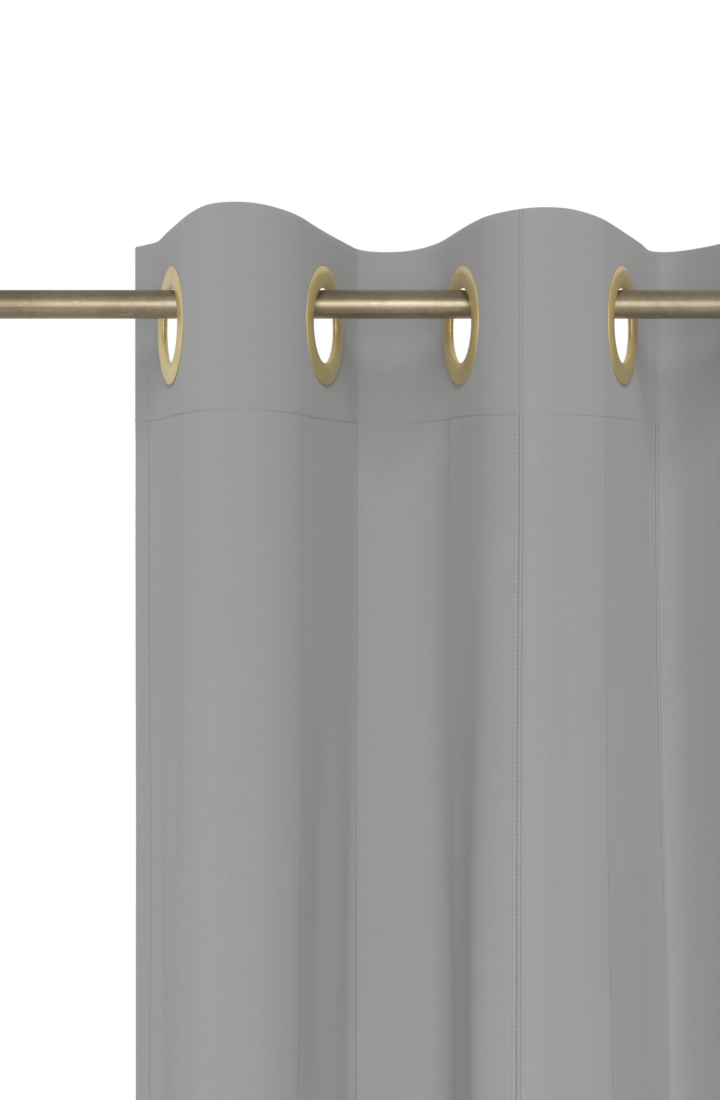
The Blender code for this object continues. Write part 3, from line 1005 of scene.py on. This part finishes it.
def seamLine(k, seam, behind):
    # middles and directions of a row of stitches across piece k at one height, front and back
    first = 0.0012 if k == 0 else eyeletAlong[k]
    last = clothWidth - 0.0012 if k == eyeletCount - 2 else eyeletAlong[k + 1]
    count = max(2, round((last - first) / sewing["pitch"]))
    where = first + (np.arange(count) + 0.5) * (last - first) / count
    half = cloth["thickness"] / 2
    front, along, out = surfacePoint(where, np.full(count, seam), np.full(count, cloth["seamPinch"] - half))
    back, _, _ = surfacePoint(where, np.full(count, seam), np.full(count, behind + half))
    return np.concatenate((front, back)), np.concatenate((along, along)), np.concatenate((out, -out))


def sideSeam(edge):
    # middles and directions of the stitches down a side hem, front and back
    top, low = headerSeam - 0.004, bottomEdge + 0.004
    count = round((top - low) / sewing["pitch"])
    height = top - (np.arange(count) + 0.5) * (top - low) / count
    inset = cloth["sideHem"] - 0.0035
    where = np.full(count, inset if edge < 0 else clothWidth - inset)
    half = cloth["thickness"] / 2
    rough = ripples(where, topEdge - height)
    lowered = cloth["layerStep"] * ease((headerSeam - height) / 0.012)
    front, _, out = surfacePoint(where, height, rough + lowered - half)
    back, _, _ = surfacePoint(where, height, rough + 2 * cloth["sideTurnRadius"] + half)
    down = np.tile((0.0, 0.0, -1.0), (count, 1))
    return np.concatenate((front, back)), np.concatenate((down, down)), np.concatenate((out, -out))


def bendWithFold(piece):
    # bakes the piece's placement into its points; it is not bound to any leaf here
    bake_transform(piece)


for k in range(eyeletCount - 1):
    piece, flatSize = makeCloth(k)
    sewn = [makeStitches(f"header_stitch_{k + 1}", *seamLine(k, headerSeam, cloth["thickness"] * 1.3))]
    sewn.append(makeStitches(f"hem_stitch_{k + 1}", *seamLine(k, bottomHemTop, cloth["thickness"] * 1.3)))
    inner = makeStiffener(k)
    for part in (piece, inner, *sewn):
        bendWithFold(part)
    if k == 0:
        sewn.append(makeStitches("side_stitch_left", *sideSeam(-1)))
        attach(sewn[-1], "leaf_1")
    if k == eyeletCount - 2:
        sewn.append(makeStitches("side_stitch_right", *sideSeam(1)))
        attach(sewn[-1], f"leaf_{eyeletCount}")
    numbers = (k + 1,) if k < eyeletCount - 2 else (k + 1, k + 2)
    for number in numbers:
        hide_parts(f"header_face_{number}", f"header_facing_{number}", f"drop_cloth_{number}")
        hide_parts(f"header_stiffener_{number}")
    if k == 0:
        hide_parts("side_hem_left")
    if k == eyeletCount - 2:
        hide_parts("side_hem_right")
    print(f"cloth piece {k + 1}: flat {flatSize[0]:.3f} by {flatSize[1]:.3f} m")


# Eyelets

eyelet = {
    # radius and height over the middle of the header's face
    "face": (
        (0.0330, 0.0010), (0.0328, 0.0005), (0.0319, 0.0005), (0.0288, 0.0012), (0.0250, 0.0013),
        (0.0228, 0.0006), (0.0222, -0.0006), (0.0224, -0.0013), (0.0229, -0.0018), (0.0225, -0.0020),
        (0.0215, -0.0014), (0.0209, -0.0004), (0.0210, 0.0006), (0.0224, 0.0015), (0.0252, 0.0021),
        (0.0292, 0.0020), (0.0320, 0.0014)),
    "washer": (
        (0.0330, -0.0020), (0.0330, -0.0025), (0.0312, -0.0030), (0.0280, -0.0032), (0.0250, -0.0028),
        (0.0236, -0.0023), (0.0236, -0.0019), (0.0252, -0.0021), (0.0284, -0.0023), (0.0318, -0.0021)),
    "curveSteps": 4,
    "aroundSteps": 96,
}


def makeEyeletRing(name, profile, k):
    # a rounded closed profile carried round the eyelet's axis
    heading = eyeletHeading[k]
    axis = np.array((math.sin(heading), -math.cos(heading), 0.0))
    across = np.array((math.cos(heading), math.sin(heading), 0.0))
    curve = smoothLoop(profile, eyelet["curveSteps"])
    centre = np.array((eyeletX[k], 0.0, eyeletZ))
    points = turnedPoints(curve, eyelet["aroundSteps"], centre, axis, across, np.array((0.0, 0.0, 1.0)))
    faces = facingOut(points, gridFaces(len(curve), eyelet["aroundSteps"], True, True))
    return putMesh(name, points, faces, eyeletMaterial)


for k in range(eyeletCount):
    for name, node in (("face", "eyelet_front"), ("washer", "eyelet_back")):
        ring = makeEyeletRing(f"eyelet_{name}_{k + 1}", eyelet[name], k)
        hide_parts(f"{node}_{k + 1}")
        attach(ring, f"leaf_{k + 1}")
print("eyelets turned:", 2 * eyeletCount)


# Pole

pole = {
    "bore": 0.0068,
    "chamfer": 0.0006,
    "aroundSteps": 96,
    "capRadius": 0.0088,
    "capHead": 0.0045,
    "capRound": 0.0016,
    "capPlug": 0.012,
    "play": 0.0003,
}


def makePole():
    # a tube: its wall's outline carried round the pole's axis, with turned-off end corners
    outer, inner, end, cut = poleRadius, pole["bore"], poleEnd, pole["chamfer"]
    profile = np.array((
        (inner, -end), (outer - cut, -end), (outer, -end + cut), (outer, -0.5 * end), (outer, 0.0),
        (outer, 0.5 * end), (outer, end - cut), (outer - cut, end), (inner, end), (inner, 0.0)))
    points = turnedPoints(
        profile, pole["aroundSteps"], np.zeros(3), np.array((1.0, 0.0, 0.0)), np.array((0.0, 1.0, 0.0)),
        np.array((0.0, 0.0, 1.0)))
    faces = facingOut(points, gridFaces(len(profile), pole["aroundSteps"], True, True))
    tube = putMesh("curtain_pole", points, faces, poleMaterial)
    tube.data.set_sharp_from_angle(angle=math.radians(35))
    return tube


def makeCap(name, side):
    # a button with a rounded rim and a plug behind it, from the axis out and back to the axis
    bend = np.linspace(math.pi / 2, 0.0, 9)
    rimRadius = pole["capRadius"] - pole["capRound"] + pole["capRound"] * np.cos(bend)
    rimHeight = pole["capHead"] - pole["capRound"] + pole["capRound"] * np.sin(bend)
    plugRadius = pole["bore"] - pole["play"]
    crown = np.linspace(0.0, 1.0, 6)[:-1]
    crownRadius = crown * rimRadius[0]
    crownHeight = np.full_like(crown, pole["capHead"])
    tail = np.array((
        (pole["capRadius"], 0.0), (plugRadius, 0.0), (plugRadius, -pole["capPlug"]), (0.0, -pole["capPlug"])))
    profile = np.concatenate((
        np.stack((crownRadius, crownHeight), axis=1), np.stack((rimRadius, rimHeight), axis=1), tail))
    points = turnedPoints(
        profile, pole["aroundSteps"], np.array((side * (poleEnd + pole["play"]), 0.0, 0.0)),
        np.array((float(side), 0.0, 0.0)), np.array((0.0, 1.0, 0.0)), np.array((0.0, 0.0, 1.0)))
    faces = gridFaces(len(profile), pole["aroundSteps"], False, True)
    cap = putMesh(name, points, faces, capMaterial, weld=True)
    cap.data.set_sharp_from_angle(angle=math.radians(35))
    return cap


tube = makePole()
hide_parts("pole_tube")
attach(tube, "pole")
for side, end in ((-1, "left"), (1, "right")):
    cap = makeCap(f"pole_cap_{end}", side)
    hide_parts(f"end_cap_{end}")
    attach(cap, "pole")
print("pole and caps turned")


# Studio

studio = {
    "floorGap": 0.020,
    "floorHalf": 2.0,
    "floorColour": (0.82, 0.82, 0.81, 1.0),
    "backdrop": 1.0,
    "skyTop": 0.52,
    "skyLevel": 1.00,
    "skyBelow": 0.85,
    "skyStrength": 0.19,         # as a light
    "reflectedStrength": 0.72,   # as the metal mirrors it
}

# name: place, size, power, whether metal mirrors it; the powers of the first three, and skyStrength,
# began as a fitting program's answer
softboxes = {
    "frontBox": ((-0.37, -4.5, -0.2), (2.0, 2.6), 49.0, True),
    "highBox": ((-0.37, -3.6, 2.6), (1.4, 2.6), 92.0, False),
    "leftBox": ((-2.6, -4.0, 0.0), (1.6, 2.6), 9.0, False),
    "lowBox": ((-0.37, -2.6, -1.9), (2.4, 1.4), 11.0, False),
    "backBox": ((-0.20, 3.4, 2.2), (3.0, 2.2), 95.0, False),
}


def makeStudio():
    half, low = studio["floorHalf"], bottomEdge - studio["floorGap"]
    corners = np.array(((-half, -half, low), (half, -half, low), (half, half, low), (-half, half, low)))
    material, tree, shader = newMaterial("paleFloor", 0.8)
    mottled = mapRange(tree, noise(tree, objectPlace(tree), 6.0, 4.0), 0.3, 0.7, 0.985, 1.015)
    plug(tree, tint(tree, studio["floorColour"], mottled), shader.inputs["Base Color"])
    floor = putMesh("floor", corners, np.array([[0, 1, 2, 3]]), material)
    aim = np.array((eyeletX[0] + cameraPlace["rightOfFirstEyelet"], 0.0, -0.2))
    for name, (place, size, power, mirrored) in softboxes.items():
        light = bpy.data.lights.new(name, "AREA")
        light.shape = "RECTANGLE"
        light.size, light.size_y = size
        light.energy = power
        box = bpy.data.objects.new(name, light)
        box.location = place
        back = np.array(place) - aim
        yaw = math.atan2(back[0], -back[1])
        tilt = math.atan2(back[2], math.hypot(back[0], back[1]))
        box.rotation_euler = (math.pi / 2 - tilt, 0.0, yaw)
        box.visible_camera = False
        box.visible_glossy = mirrored
        bpy.context.scene.collection.objects.link(box)


def makeWorld():
    # white behind the object for the camera, a soft graded room as the metal mirrors it, and the
    # same room, dimmer, as a light
    world = bpy.data.worlds.new("whiteStudio")
    world.use_nodes = True
    bpy.context.scene.world = world
    tree = world.node_tree
    room = tree.nodes["Background"]
    up = splitVector(tree, tree.nodes.new("ShaderNodeTexCoord").outputs["Generated"])[2]
    high = mapRange(tree, up, 0.1, 0.95, studio["skyLevel"], studio["skyTop"])
    low = mapRange(tree, up, -0.6, 0.0, studio["skyBelow"] - studio["skyLevel"], 0.0)
    grey = calc(tree, "ADD", high, low)
    plug(tree, joinVector(tree, grey, grey, grey), room.inputs["Color"])
    ray = tree.nodes.new("ShaderNodeLightPath").outputs
    strength = mapRange(
        tree, ray["Is Glossy Ray"], 0.0, 1.0, studio["skyStrength"], studio["reflectedStrength"])
    plug(tree, strength, room.inputs["Strength"])
    white = tree.nodes.new("ShaderNodeBackground")
    white.inputs["Strength"].default_value = studio["backdrop"]
    white.inputs["Color"].default_value = (1.0, 1.0, 1.0, 1.0)
    choose = tree.nodes.new("ShaderNodeMixShader")
    tree.links.new(ray["Is Camera Ray"], choose.inputs[0])
    tree.links.new(room.outputs[0], choose.inputs[1])
    tree.links.new(white.outputs[0], choose.inputs[2])
    tree.links.new(choose.outputs[0], tree.nodes["World Output"].inputs["Surface"])


makeStudio()
makeWorld()
bpy.context.scene.view_settings.view_transform = "Standard"
bpy.context.scene.view_settings.look = "None"
print("studio lit")
